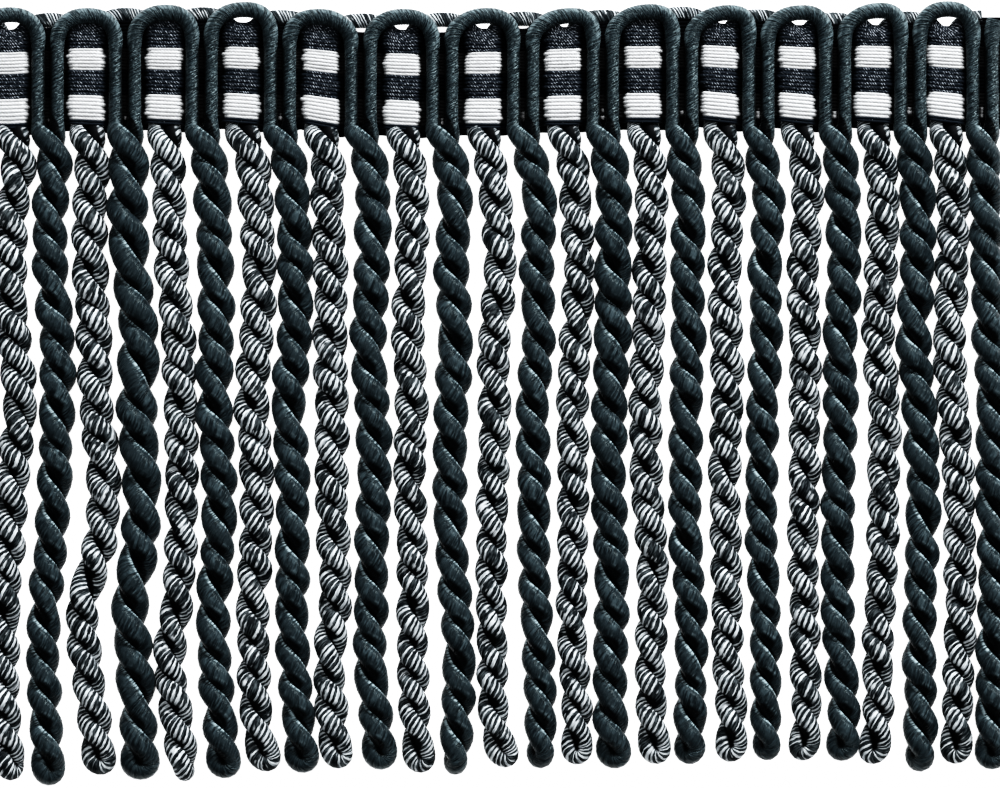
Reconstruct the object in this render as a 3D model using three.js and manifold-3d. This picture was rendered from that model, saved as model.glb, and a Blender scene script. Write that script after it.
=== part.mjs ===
// A cut length of bullion fringe trim, lying face up on a flat surface, in millimetres.
// +X runs along the trim, +Y points from the bullion tips to the arch tops and +Z is up.
// A black gimp cord makes arches on the face of the heading and a mixed gimp cord makes arches on its back.
// Below the heading the two legs that stand side by side twist round each other into a hanging bullion.
// Bands of warp yarn run through: over the legs of the mixed cord and under the legs of the black cord.
import * as THREE from "three";
import { mergeVertices } from "three/addons/utils/BufferGeometryUtils.js";
import Module from "manifold-3d";

const wasm = await Module();
wasm.setup();

// Overall sizes. A depth is always measured down from the highest arch top.
const HEIGHT = 152.4;
const CUT_LENGTH = 208;
const PITCH = 15.1;
const BLACK_BULLIONS = 14;
const MIXED_BULLIONS = 13;

// Heading.
const LEG_HALF_GAP = 1.8;
const CORD_HALF_WIDTH = 1.4;
const CORD_FLAT_HALF_WIDTH = 0.8;
const BACK_CORD_HALF_WIDTH = 1.2;
const FACE_ARCH_RISE = 4.3;
const BACK_ARCH_RISE = 3.1;
const ARCH_SQUARENESS = 0.7;
const FOOT_DEPTH = 26;
const PIECE_GAP = 0.3;

// Levels above the surface: the mixed cord lies at the bottom, the black cord on top.
const MIXED_CORD_HALF_THICK = 1.1;
const MIXED_CORD_LEVEL = MIXED_CORD_HALF_THICK;
const BLACK_CORD_HALF_THICK = 1.2;
const BLACK_CORD_LEVEL = 2 * MIXED_CORD_HALF_THICK + PIECE_GAP + BLACK_CORD_HALF_THICK;
const BAND_THICK = 1;
const BAND_LOW_LEVEL = BLACK_CORD_LEVEL - BLACK_CORD_HALF_THICK - PIECE_GAP - BAND_THICK / 2;
const BAND_HIGH_LEVEL = 2 * MIXED_CORD_HALF_THICK + PIECE_GAP + BAND_THICK / 2;
const BAND_LOW_HALF_LENGTH = 3.1;
const BAND_HIGH_HALF_LENGTH = 2.75;

// Bullions: two plies twisted together, so the section is long across the plies and short across the groove.
const PLY_CREST = 3.35;
const PLY_GROOVE = 1.9;
const ROOT_DEPTH = 24.4;
const ROOT_SCALE = 0.93;
const MIXED_ROOT_LEVEL = 1.9;
const BLACK_ROOT_LEVEL = 3.6;
const TWIST_STEP = 60;
const FRONT_ANGLE = 90;
const HALF_TURN = 180;
const LOOP_LENGTH = 3.4;
const LOOP_SHOULDER = { before: 1.2, scale: 0.8 };
const LOOP_END_SCALE = 0.42;

// Depth of the first place where a ply crosses in front, and the level where the bullion leaves the heading.
const BLACK_TWIST = { first: 28.1, rootLevel: BLACK_ROOT_LEVEL };
const MIXED_TWIST = { first: 28.9, rootLevel: MIXED_ROOT_LEVEL };

// Each bullion hangs a little out of its even place: sway is how far to the right it lies at each station.
// tip is the sway of its end, reach is how deep it ends, crossings are counted after the first one,
// last is the depth of the last crossing, and turn is how far the plies go on turning before the end loop.
const STATIONS = [25, 32, 39, 52, 66, 78, 93, 105, 117, 127, 139];
const BLACK_ROWS = [
  { tip: -1.2, reach: 150.4, crossings: 17, last: 142.5, turn: 85,
    sway: [-1.2, -0.4, -0.9, -1.3, -0.9, -0.3, -0.9, -1.6, -2.3, -2.6, -2.3] },
  { tip: -1.4, reach: 152.4, crossings: 17, last: 144.5, turn: 110,
    sway: [-1.8, -0.4, -1.4, -1.2, 0, 0, -0.4, -1.2, -2.3, -2.7, -2.3] },
  { tip: 1.2, reach: 151.2, crossings: 16, last: 143.9, turn: 95,
    sway: [-1.9, -1.1, -1.5, -0.8, 0.9, 0.4, 1.4, 1, -1, -0.2, 0.6] },
  { tip: 2.4, reach: 151, crossings: 17, last: 143.9, turn: 90,
    sway: [-2.1, -0.5, 0.1, 0.5, 0.7, 0.3, 1.2, 1.2, 0.1, 0.3, 1.4] },
  { tip: 2.5, reach: 149.9, crossings: 17, last: 142.7, turn: 90,
    sway: [-2, -0.1, 0.5, 0.9, 0.9, -0.4, 0.5, 0.5, 0.3, 0.7, 1.5] },
  { tip: 2.5, reach: 149.3, crossings: 17, last: 141.6, turn: 100,
    sway: [-1.4, 0.4, 1, 0.8, 0, 0.8, 1.2, 0.8, 0.6, 0.4, 1.6] },
  { tip: 1.8, reach: 150.3, crossings: 17, last: 145.8, turn: 20,
    sway: [-0.7, 1, 1.8, 1.2, 1.8, 1.2, 0.8, 1, 2, 2.6, 2.2] },
  { tip: 3.2, reach: 149.1, crossings: 17, last: 143.9, turn: 40,
    sway: [-0.1, 1.7, 3.2, 2.6, 2.8, 1.8, 2, 2, 2.4, 2.8, 3.4] },
  { tip: 2.7, reach: 149.1, crossings: 17, last: 142.5, turn: 85,
    sway: [0.3, 1.7, 2.5, 2.3, 2.1, 1.7, 1.3, 1.9, 2.1, 1.7, 1.9] },
  { tip: 2, reach: 148.3, crossings: 17, last: 142.5, turn: 65,
    sway: [0.6, 1, 2, 1.6, 1.8, 1.4, 1.2, 1.4, 2.2, 2.4, 2.2] },
  { tip: 2, reach: 147.6, crossings: 17, last: 142.1, turn: 50,
    sway: [0.3, 1.2, 2.4, 1.6, 1.8, 1.2, 0.9, 1, 1.6, 1.8, 1.8] },
  { tip: 1.3, reach: 147.6, crossings: 17, last: 141.4, turn: 80,
    sway: [0.1, 1.3, 1.7, 1.9, 1.1, 1.3, 0.7, 0.7, 0.5, 1.1, 1.9] },
  { tip: 1.4, reach: 149.7, crossings: 17, last: 144.7, turn: 40,
    sway: [-0.4, 0.6, 1, 1, 0.2, 1.4, 2.1, 1.9, 1.6, 1.4, 1.6] },
  { tip: 0.4, reach: 149.3, crossings: 17, last: 142.5, turn: 85,
    sway: [-1.5, -1.1, -0.8, -0.4, 0, 0.6, 0.6, 0.8, 0.8, 0.6, 0.3] },
];
const MIXED_ROWS = [
  { tip: -1.4, reach: 151.4, crossings: 17, last: 142.5, turn: 145,
    sway: [-1.6, 0.2, -1.2, -1.7, -0.9, 0.4, -1.1, -1.9, -2.7, -3, -2.7] },
  { tip: 1, reach: 150.3, crossings: 17, last: 142.5, turn: 95,
    sway: [-1.9, -0.6, -1.1, -1.2, -0.2, 0, 1.5, 0.8, -2.6, -2, -0.4] },
  { tip: 2.2, reach: 151.6, crossings: 17, last: 141.6, turn: 175,
    sway: [-1.9, -1.1, -0.9, -0.3, 0.9, 1.4, 1.5, 1.5, 0.6, -0.9, 0.6] },
  { tip: 3, reach: 149.7, crossings: 17, last: 141, turn: 95,
    sway: [-2, 0.3, 0.9, 1.5, 0.9, 0.1, 1.1, 0.9, 0.1, 0.5, 0.9] },
  { tip: 1.9, reach: 149.1, crossings: 17, last: 140.6, turn: 110,
    sway: [-1.7, -0.2, -0.3, 0.2, 0.2, 0.5, 0.4, 0.9, 1.1, 0.1, 0.5] },
  { tip: 2.7, reach: 149.9, crossings: 17, last: 141, turn: 95,
    sway: [-1, 0.6, 1, 0.8, 0.2, 1, 0.4, 1, 1.2, 1, 1.6] },
  { tip: 4.2, reach: 148.9, crossings: 17, last: 140.6, turn: 95,
    sway: [-0.3, 1.2, 2.2, 3, 1.8, 2, 1.6, 1.4, 1.2, 1.6, 1.8] },
  { tip: 2.8, reach: 148.3, crossings: 17, last: 140.6, turn: 90,
    sway: [0.1, 2.1, 2.6, 3.2, 2.6, 1.9, 2.1, 1.9, 1.9, 2.1, 2.8] },
  { tip: 3.2, reach: 148.2, crossings: 17, last: 140, turn: 95,
    sway: [0.6, 1.9, 2.1, 1.9, 1.5, 1.1, 1.1, 2.3, 2.3, 2.1, 2.3] },
  { tip: 2.4, reach: 147.8, crossings: 17, last: 140, turn: 90,
    sway: [0.4, 2, 2, 1.4, 1.6, 1.8, 1.2, 1.6, 1.8, 1.8, 2.8] },
  { tip: 1.3, reach: 147.6, crossings: 17, last: 139.8, turn: 90,
    sway: [0.3, 1.9, 2.2, 1.5, 1.8, 1.8, 1.7, 1.5, 1.7, 1.8, 2.2] },
  { tip: -0.2, reach: 148.3, crossings: 17, last: 140.4, turn: 90,
    sway: [0, 1.4, 1.9, 1.5, 0.9, 2.1, 1.9, 1.9, 1.3, 0.9, 0.9] },
  { tip: 0.8, reach: 148.2, crossings: 17, last: 140.2, turn: 90,
    sway: [-1, -0.1, 0.4, 0.2, -0.4, 0.4, 1.4, 1.8, 1.8, 1.6, 1.2] },
];

// Face arches: top is the depth of the arch's crest, lean how far right of the middle it stands,
// and drop how far the warp bands sag under it.
const ARCH_ROWS = [
  { top: 1.1, lean: 0, drop: 0.9 },
  { top: 1.3, lean: 0.4, drop: 0.1 },
  { top: 0.7, lean: 0.6, drop: 0 },
  { top: 0.1, lean: 0.7, drop: -0.2 },
  { top: 1.5, lean: -0.6, drop: 0.4 },
  { top: 1.5, lean: 0.5, drop: 1.1 },
  { top: 1.3, lean: 0.8, drop: 0.8 },
  { top: 1.3, lean: 1.6, drop: 0.2 },
  { top: 0.5, lean: 1.4, drop: -0.3 },
  { top: 0.7, lean: 1.8, drop: -0.4 },
  { top: 0.7, lean: 1, drop: -0.2 },
  { top: 0.3, lean: 1.4, drop: -0.4 },
  { top: 0, lean: 0.3, drop: -0.4 },
];
const BACK_ARCH_TOP = 1.1;
const FACE_ARC_STEP = 30;
const CUT_ARC = 60;
const CUT_SPAN = 3;
const BACK_ARC_STEP = 45;

// Warp bands from the arches downwards.
const BANDS = [
  { name: "warp_black_upper", colour: 0x14181a, from: 6, to: 8.85 },
  { name: "warp_white_upper", colour: 0xf2f2f0, from: 9.2, to: 13.05 },
  { name: "warp_black_lower", colour: 0x14181a, from: 13.4, to: 17.95 },
  { name: "warp_white_lower", colour: 0xf2f2f0, from: 18.3, to: 22.8 },
];
const BLACK_GIMP_COLOUR = 0x1d2426;
const MIXED_GIMP_COLOUR = 0x7b8082;
const YARN_ROUGHNESS = 0.85;

const radians = THREE.MathUtils.degToRad;
const UP = new THREE.Vector3(0, 0, 1);

function blackPlace(index) {
  return (index - (BLACK_BULLIONS - 1) / 2) * PITCH;
}

function mixedPlace(index) {
  return (index - (MIXED_BULLIONS - 1) / 2) * PITCH;
}

// Smooth curve through one value at each knot.
function smoothAt(knots, values, at) {
  const last = knots.length - 1;
  let i = 0;
  while (i < last - 1 && at > knots[i + 1]) i++;
  const slope = (k) => {
    const a = Math.max(k - 1, 0);
    const b = Math.min(k + 1, last);
    return (values[b] - values[a]) / (knots[b] - knots[a]);
  };
  const span = knots[i + 1] - knots[i];
  const t = THREE.MathUtils.clamp((at - knots[i]) / span, 0, 1);
  const rise = values[i + 1] - values[i];
  const bend = t * t * (3 - 2 * t);
  const leave = t * (1 - t) * (1 - t) * slope(i) * span;
  const arrive = t * t * (1 - t) * slope(i + 1) * span;
  return values[i] + rise * bend + leave - arrive;
}

// Heading places: the middle of each pair of legs.
const blackPairs = BLACK_ROWS.map((row, i) => blackPlace(i) + row.sway[0]);
const mixedPairs = MIXED_ROWS.map((row, i) => mixedPlace(i) + row.sway[0]);

// How far the heading sags at a place along the trim.
const drops = ARCH_ROWS.map((row) => row.drop);

function dropAt(x) {
  return smoothAt(mixedPairs, drops, x);
}

// Sweeps a section through a list of rings, each with its own centre and section axes.
// A twisted one is swept as a mirror image and turned right side out again:
// its four cornered sides are then split along their short diagonals, which keeps the solid full.
function sweep(section, rings, twisted = false) {
  const shape = new THREE.Shape(section.map(([x, y]) => new THREE.Vector2(x, y)));
  const steps = rings.length - 1;
  const geometry = new THREE.ExtrudeGeometry(shape, { depth: steps, steps, bevelEnabled: false });
  const place = geometry.getAttribute("position");
  const flat = place.clone();
  const point = new THREE.Vector3();
  for (let i = 0; i < place.count; i++) {
    const from = twisted ? i + [0, 1, -1][i % 3] : i;
    const ring = rings[Math.round(flat.getZ(from))];
    point.copy(ring.centre);
    point.addScaledVector(ring.across, flat.getX(from));
    point.addScaledVector(ring.over, flat.getY(from) * (twisted ? -1 : 1));
    place.setXYZ(i, point.x, point.y, point.z);
  }
  return geometry;
}

// A closed geometry as a solid that can be joined to others.
function solidOf(geometry) {
  geometry.deleteAttribute("normal");
  geometry.deleteAttribute("uv");
  const merged = mergeVertices(geometry);
  const mesh = new wasm.Mesh({
    numProp: 3,
    vertProperties: new Float32Array(merged.getAttribute("position").array),
    triVerts: new Uint32Array(merged.index.array),
  });
  return new wasm.Manifold(mesh);
}

function geometryOf(solid) {
  const mesh = solid.getMesh();
  const geometry = new THREE.BufferGeometry();
  geometry.setAttribute("position", new THREE.BufferAttribute(mesh.vertProperties, 3));
  geometry.setIndex(new THREE.BufferAttribute(mesh.triVerts, 1));
  geometry.computeVertexNormals();
  return geometry;
}

// One bullion. Where a ply crosses in front the section stands upright and the other ply rests on the surface.
function bullion(place, row, twist) {
  const section = [[PLY_CREST, 0], [0, PLY_GROOVE], [-PLY_CREST, 0], [0, -PLY_GROOVE]];
  const loopDepth = row.reach - LOOP_LENGTH;
  const halfTurn = (row.last - twist.first) / row.crossings;
  const lastAngle = FRONT_ANGLE - HALF_TURN * row.crossings;
  const depthAt = (angle) => {
    if (angle >= lastAngle) return twist.first + ((FRONT_ANGLE - angle) / HALF_TURN) * halfTurn;
    return row.last + ((lastAngle - angle) / row.turn) * (loopDepth - row.last);
  };
  const knots = [...STATIONS, row.reach];
  const sways = [...row.sway, row.tip];
  const rings = [];
  const addRing = (depth, angle, level, scale) => {
    const turn = radians(angle);
    const x = place + smoothAt(knots, sways, depth);
    rings.push({
      centre: new THREE.Vector3(x, HEIGHT / 2 - depth, level),
      across: new THREE.Vector3(Math.cos(turn), 0, Math.sin(turn)).multiplyScalar(scale),
      over: new THREE.Vector3(-Math.sin(turn), 0, Math.cos(turn)).multiplyScalar(scale),
    });
  };
  addRing(ROOT_DEPTH + dropAt(place + row.sway[0]), HALF_TURN, twist.rootLevel, ROOT_SCALE);
  const startAngle = FRONT_ANGLE + TWIST_STEP;
  addRing(depthAt(startAngle), startAngle, (twist.rootLevel + PLY_CREST) / 2, 1);
  const endAngle = lastAngle - row.turn;
  for (let angle = FRONT_ANGLE; angle > endAngle + TWIST_STEP / 4; angle -= TWIST_STEP) {
    addRing(depthAt(angle), angle, PLY_CREST, 1);
  }
  addRing(loopDepth, endAngle, PLY_CREST, 1);
  addRing(row.reach - LOOP_SHOULDER.before, endAngle, PLY_CREST, LOOP_SHOULDER.scale);
  addRing(row.reach, endAngle, PLY_CREST, LOOP_END_SCALE);
  return sweep(section, rings, true);
}

// The cord on the face is rounded to both sides; the cord on the back is pressed flat underneath.
const FACE_SECTION = [
  [CORD_HALF_WIDTH, 0],
  [CORD_FLAT_HALF_WIDTH, BLACK_CORD_HALF_THICK],
  [-CORD_FLAT_HALF_WIDTH, BLACK_CORD_HALF_THICK],
  [-CORD_HALF_WIDTH, 0],
  [-CORD_FLAT_HALF_WIDTH, -BLACK_CORD_HALF_THICK],
  [CORD_FLAT_HALF_WIDTH, -BLACK_CORD_HALF_THICK],
];
const BACK_SECTION = [
  [BACK_CORD_HALF_WIDTH, -MIXED_CORD_HALF_THICK],
  [CORD_FLAT_HALF_WIDTH, MIXED_CORD_HALF_THICK],
  [-CORD_FLAT_HALF_WIDTH, MIXED_CORD_HALF_THICK],
  [-BACK_CORD_HALF_WIDTH, -MIXED_CORD_HALF_THICK],
];

// One arch of cord between two legs, with angles from 180 at the left leg over 90 at the crest to 0.
function arch({ section, step, rise, level, left, right, top, lean, from = HALF_TURN, to = 0 }) {
  const middle = (left + right) / 2;
  const halfSpan = (right - left) / 2;
  const crest = top + CORD_HALF_WIDTH;
  const shoulder = crest + rise;
  const rings = [];
  const addRing = (x, depth, along) => {
    rings.push({
      centre: new THREE.Vector3(x, HEIGHT / 2 - depth, level),
      across: new THREE.Vector3().crossVectors(UP, along.normalize()),
      over: UP,
    });
  };
  if (from === HALF_TURN) addRing(left, FOOT_DEPTH, new THREE.Vector3(0, 1, 0));
  for (let angle = from; angle >= to; angle -= step) {
    const c = Math.cos(radians(angle));
    const s = Math.sin(radians(angle));
    const x = middle + halfSpan * Math.sign(c) * Math.abs(c) ** ARCH_SQUARENESS + lean * s * s;
    const along = new THREE.Vector3(halfSpan * s, -rise * c, 0);
    addRing(x, shoulder - rise * s, along);
  }
  if (to === 0) addRing(right, FOOT_DEPTH, new THREE.Vector3(0, -1, 0));
  return sweep(section, rings);
}

// The face cord: an arch over each block, cut through at both ends of the trim.
function blackGimp() {
  const cord = { section: FACE_SECTION, step: FACE_ARC_STEP, rise: FACE_ARCH_RISE, level: BLACK_CORD_LEVEL };
  const pieces = ARCH_ROWS.map((row, i) =>
    arch({
      ...cord,
      left: blackPairs[i] + LEG_HALF_GAP,
      right: blackPairs[i + 1] - LEG_HALF_GAP,
      top: row.top,
      lean: row.lean,
    }),
  );
  const firstLeg = blackPairs[0] - LEG_HALF_GAP;
  const lastLeg = blackPairs[BLACK_BULLIONS - 1] + LEG_HALF_GAP;
  const plain = { ...cord, top: 1, lean: 0 };
  pieces.push(arch({ ...plain, left: firstLeg - CUT_SPAN, right: firstLeg, from: CUT_ARC }));
  pieces.push(arch({ ...plain, left: lastLeg, right: lastLeg + CUT_SPAN, to: HALF_TURN - CUT_ARC }));
  BLACK_ROWS.forEach((row, i) => pieces.push(bullion(blackPlace(i), row, BLACK_TWIST)));
  return pieces.map(solidOf).reduce((whole, piece) => whole.add(piece));
}

// The back cord: an arch behind each pair of black legs, cut through at both ends of the trim.
function mixedGimp() {
  const cord = {
    section: BACK_SECTION,
    step: BACK_ARC_STEP,
    rise: BACK_ARCH_RISE,
    level: MIXED_CORD_LEVEL,
    top: BACK_ARCH_TOP,
    lean: 0,
  };
  const pieces = [];
  for (let i = 0; i + 1 < MIXED_BULLIONS; i++) {
    const left = mixedPairs[i] + LEG_HALF_GAP;
    const right = mixedPairs[i + 1] - LEG_HALF_GAP;
    pieces.push(arch({ ...cord, left, right }));
  }
  const firstLeg = mixedPairs[0] - LEG_HALF_GAP;
  const lastLeg = mixedPairs[MIXED_BULLIONS - 1] + LEG_HALF_GAP;
  const span = PITCH - 2 * LEG_HALF_GAP;
  pieces.push(arch({ ...cord, left: firstLeg - span, right: firstLeg, from: HALF_TURN / 2 }));
  pieces.push(arch({ ...cord, left: lastLeg, right: lastLeg + span, to: HALF_TURN / 2 }));
  MIXED_ROWS.forEach((row, i) => pieces.push(bullion(mixedPlace(i), row, MIXED_TWIST)));
  return pieces.map(solidOf).reduce((whole, piece) => whole.add(piece));
}

// Side view of a warp band: low under each black pair, a raised block over each mixed pair.
function bandLine() {
  const line = [[-CUT_LENGTH / 2, BAND_LOW_LEVEL]];
  blackPairs.forEach((black, i) => {
    if (i > 0) line.push([black - BAND_LOW_HALF_LENGTH, BAND_LOW_LEVEL]);
    if (i === MIXED_BULLIONS) return;
    const mixed = mixedPairs[i];
    line.push([black + BAND_LOW_HALF_LENGTH, BAND_LOW_LEVEL]);
    line.push([mixed - BAND_HIGH_HALF_LENGTH, BAND_HIGH_LEVEL]);
    line.push([mixed + BAND_HIGH_HALF_LENGTH, BAND_HIGH_LEVEL]);
  });
  line.push([CUT_LENGTH / 2, BAND_LOW_LEVEL]);
  return line;
}

// A warp band sags with the heading, so its points move down by the drop of the arches nearby.
function warpBand({ from, to }) {
  const line = bandLine();
  const top = line.map(([x, z]) => new THREE.Vector2(x, z + BAND_THICK / 2));
  const bottom = line.map(([x, z]) => new THREE.Vector2(x, z - BAND_THICK / 2));
  const shape = new THREE.Shape([...bottom, ...top.reverse()]);
  const geometry = new THREE.ExtrudeGeometry(shape, { depth: to - from, bevelEnabled: false });
  const place = geometry.getAttribute("position");
  for (let i = 0; i < place.count; i++) {
    const x = place.getX(i);
    const depth = from + place.getZ(i) + dropAt(x);
    place.setXYZ(i, x, HEIGHT / 2 - depth, place.getY(i));
  }
  return geometryOf(solidOf(geometry));
}

function yarnMesh(name, geometry, colour) {
  const material = new THREE.MeshStandardMaterial({ color: colour, roughness: YARN_ROUGHNESS, metalness: 0 });
  const mesh = new THREE.Mesh(geometry, material);
  mesh.name = name;
  return mesh;
}

const trim = new THREE.Group();
trim.add(yarnMesh("black_gimp", geometryOf(blackGimp()), BLACK_GIMP_COLOUR));
trim.add(yarnMesh("mixed_gimp", geometryOf(mixedGimp()), MIXED_GIMP_COLOUR));
BANDS.forEach((band) => trim.add(yarnMesh(band.name, warpBand(band), band.colour)));

export default trim;
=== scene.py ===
# %% [markdown]
# # A bullion fringe trim
# Bullion fringe is a furnishing trim: a narrow woven heading with a row of twisted cords hanging from it.
# This lesson dresses the plain solids of such a trim with round cords, single yarns and their finishes.
# Everything is built in the frame of the solids, so each new piece lands where its solid already lies.

# %% Load the frame
import math

import bpy
import numpy as np
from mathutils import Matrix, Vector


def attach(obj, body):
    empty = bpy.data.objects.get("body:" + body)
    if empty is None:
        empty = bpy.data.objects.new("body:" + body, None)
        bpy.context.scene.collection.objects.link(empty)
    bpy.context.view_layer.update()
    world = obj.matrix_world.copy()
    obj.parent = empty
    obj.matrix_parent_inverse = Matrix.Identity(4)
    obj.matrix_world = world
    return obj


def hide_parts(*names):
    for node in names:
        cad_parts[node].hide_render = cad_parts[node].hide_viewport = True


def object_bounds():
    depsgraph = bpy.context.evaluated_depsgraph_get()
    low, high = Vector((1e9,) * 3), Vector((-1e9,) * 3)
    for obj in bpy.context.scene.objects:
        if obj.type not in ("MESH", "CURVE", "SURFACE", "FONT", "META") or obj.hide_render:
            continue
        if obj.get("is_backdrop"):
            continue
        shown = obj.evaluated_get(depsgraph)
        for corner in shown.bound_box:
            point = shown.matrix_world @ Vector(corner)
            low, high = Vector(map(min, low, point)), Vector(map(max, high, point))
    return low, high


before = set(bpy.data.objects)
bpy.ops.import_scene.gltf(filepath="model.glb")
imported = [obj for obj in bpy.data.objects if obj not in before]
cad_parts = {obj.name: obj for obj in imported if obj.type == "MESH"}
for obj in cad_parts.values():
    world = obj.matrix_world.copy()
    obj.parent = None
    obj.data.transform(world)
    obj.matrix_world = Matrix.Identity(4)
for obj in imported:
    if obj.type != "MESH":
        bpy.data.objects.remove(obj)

cad_low, cad_high = (list(corner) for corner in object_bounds())
MM = 0.001
TOP = cad_high[1] / MM
CUT_END = cad_high[0] / MM
print("the solids reach from", cad_low, "to", cad_high)

# %% [markdown]
# ## How the trim hangs together
# Two wrapped cords, called gimps, run through the whole trim without a break.
# The black one makes arches on the face of the heading, and the black and white one makes arches on its back.
# At the foot of the heading the two legs that stand side by side are twisted round each other.
# That twisted pair is a bullion, and the cord turns round in a loop at its end and climbs back up.
#
# No two bullions lie quite alike, so each has a row in a table, read from left to right.
# A row starts with the sideways place of the loop's tip, the depth that the loop reaches and the width.
# Then it counts how often a ply crosses the front, and gives the depth of the last crossing.
# The turn is how many degrees are left from there to the loop, and the sway is sideways at each station.
# A depth is always measured downwards from the highest arch, and lengths are in millimetres.

# %% The bullions, one row for each
PITCH = 15.1
STATIONS = [25, 32, 39, 52, 66, 78, 93, 105, 117, 127, 139]
COLUMNS = ("tip", "reach", "wide", "crossings", "last", "turn", "sway")
BLACK_TABLE = [
    (-1.2, 150.4, 7.0, 17, 142.5, 85, [-1.2, -0.4, -0.9, -1.3, -0.9, -0.3, -0.9, -1.6, -2.3, -2.6, -2.3]),
    (-1.4, 152.4, 6.8, 17, 144.5, 110, [-1.8, -0.4, -1.4, -1.2, 0, 0, -0.4, -1.2, -2.3, -2.7, -2.3]),
    (1.2, 151.2, 7.7, 15, 143.9, 95, [-1.9, -1.1, -1.5, -0.8, 0.9, 0.4, 1.4, 1, -1, -0.2, 0.6]),
    (2.4, 151, 7.0, 17, 143.9, 90, [-2.1, -0.5, 0.1, 0.5, 0.7, 0.3, 1.2, 1.2, 0.1, 0.3, 1.4]),
    (2.5, 149.9, 6.8, 17, 142.7, 90, [-2, -0.1, 0.5, 0.9, 0.9, -0.4, 0.5, 0.5, 0.3, 0.7, 1.5]),
    (2.5, 149.3, 6.9, 17, 141.6, 100, [-1.4, 0.4, 1, 0.8, 0, 0.8, 1.2, 0.8, 0.6, 0.4, 1.6]),
    (1.8, 150.3, 6.8, 17, 145.8, 20, [-0.7, 1, 1.8, 1.2, 1.8, 1.2, 0.8, 1, 2, 2.6, 2.2]),
    (3.2, 149.1, 6.6, 17, 143.9, 40, [-0.1, 1.7, 3.2, 2.6, 2.8, 1.8, 2, 2, 2.4, 2.8, 3.4]),
    (2.7, 149.1, 7.1, 17, 142.5, 85, [0.3, 1.7, 2.5, 2.3, 2.1, 1.7, 1.3, 1.9, 2.1, 1.7, 1.9]),
    (2, 148.3, 6.6, 17, 142.5, 65, [0.6, 1, 2, 1.6, 1.8, 1.4, 1.2, 1.4, 2.2, 2.4, 2.2]),
    (2, 147.6, 6.4, 17, 142.1, 50, [0.3, 1.2, 2.4, 1.6, 1.8, 1.2, 0.9, 1, 1.6, 1.8, 1.8]),
    (1.3, 147.6, 6.7, 17, 141.4, 80, [0.1, 1.3, 1.7, 1.9, 1.1, 1.3, 0.7, 0.7, 0.5, 1.1, 1.9]),
    (1.4, 149.7, 6.8, 17, 144.7, 40, [-0.4, 0.6, 1, 1, 0.2, 1.4, 2.1, 1.9, 1.6, 1.4, 1.6]),
    (0.4, 149.3, 6.8, 17, 142.5, 85, [-1.5, -1.1, -0.8, -0.4, 0, 0.6, 0.6, 0.8, 0.8, 0.6, 0.3]),
]
MIXED_TABLE = [
    (-1.4, 151.4, 6.7, 17, 142.5, 145, [-1.6, 0.2, -1.2, -1.7, -0.9, 0.4, -1.1, -1.9, -2.7, -3, -2.7]),
    (1, 150.3, 6.8, 17, 142.5, 95, [-1.9, -0.6, -1.1, -1.2, -0.2, 0, 1.5, 0.8, -2.6, -2, -0.4]),
    (2.2, 151.6, 6.6, 17, 141.6, 175, [-1.9, -1.1, -0.9, -0.3, 0.9, 1.4, 1.5, 1.5, 0.6, -0.9, 0.6]),
    (3, 149.7, 6.7, 17, 141, 95, [-2, 0.3, 0.9, 1.5, 0.9, 0.1, 1.1, 0.9, 0.1, 0.5, 0.9]),
    (1.9, 149.1, 6.6, 17, 140.6, 110, [-1.7, -0.2, -0.3, 0.2, 0.2, 0.5, 0.4, 0.9, 1.1, 0.1, 0.5]),
    (2.7, 149.9, 6.4, 17, 141, 95, [-1, 0.6, 1, 0.8, 0.2, 1, 0.4, 1, 1.2, 1, 1.6]),
    (4.2, 148.9, 6.3, 17, 140.6, 95, [-0.3, 1.2, 2.2, 3, 1.8, 2, 1.6, 1.4, 1.2, 1.6, 1.8]),
    (2.8, 148.3, 6.2, 17, 140.6, 90, [0.1, 2.1, 2.6, 3.2, 2.6, 1.9, 2.1, 1.9, 1.9, 2.1, 2.8]),
    (3.2, 148.2, 6.4, 17, 140, 95, [0.6, 1.9, 2.1, 1.9, 1.5, 1.1, 1.1, 2.3, 2.3, 2.1, 2.3]),
    (2.4, 147.8, 6.4, 17, 140, 90, [0.4, 2, 2, 1.4, 1.6, 1.8, 1.2, 1.6, 1.8, 1.8, 2.8]),
    (1.3, 147.6, 6.2, 17, 139.8, 90, [0.3, 1.9, 2.2, 1.5, 1.8, 1.8, 1.7, 1.5, 1.7, 1.8, 2.2]),
    (-0.2, 148.3, 6.4, 17, 140.4, 90, [0, 1.4, 1.9, 1.5, 0.9, 2.1, 1.9, 1.9, 1.3, 0.9, 0.9]),
    (0.8, 148.2, 6.4, 17, 140.2, 90, [-1, -0.1, 0.4, 0.2, -0.4, 0.4, 1.4, 1.8, 1.8, 1.6, 1.2]),
]


def bullion_rows(table, seed):
    """Each row with its place in the pitch, the middle of its two legs and the phases of its unrest."""
    random = np.random.default_rng(seed)
    rows = [dict(zip(COLUMNS, line)) for line in table]
    for index, row in enumerate(rows):
        row["place"] = (index - (len(rows) - 1) / 2) * PITCH
        row["pair"] = row["place"] + row["sway"][0]
        row["phases"] = random.uniform(0, 2 * math.pi, 4)
    return rows


black_rows = bullion_rows(BLACK_TABLE, 1)
mixed_rows = bullion_rows(MIXED_TABLE, 2)
print(len(black_rows), "black bullions and", len(mixed_rows), "mixed ones")

# %% [markdown]
# ## A curve through given values
# A hanging cord sways gently, so its sway is a smooth curve through the values in its row.
# A cubic piece between each two stations passes through every value and never swings far beyond them.
# A second helper climbs gently from nothing to one, and a third blends two values by such a share.

# %% Smooth values between stations


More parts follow.
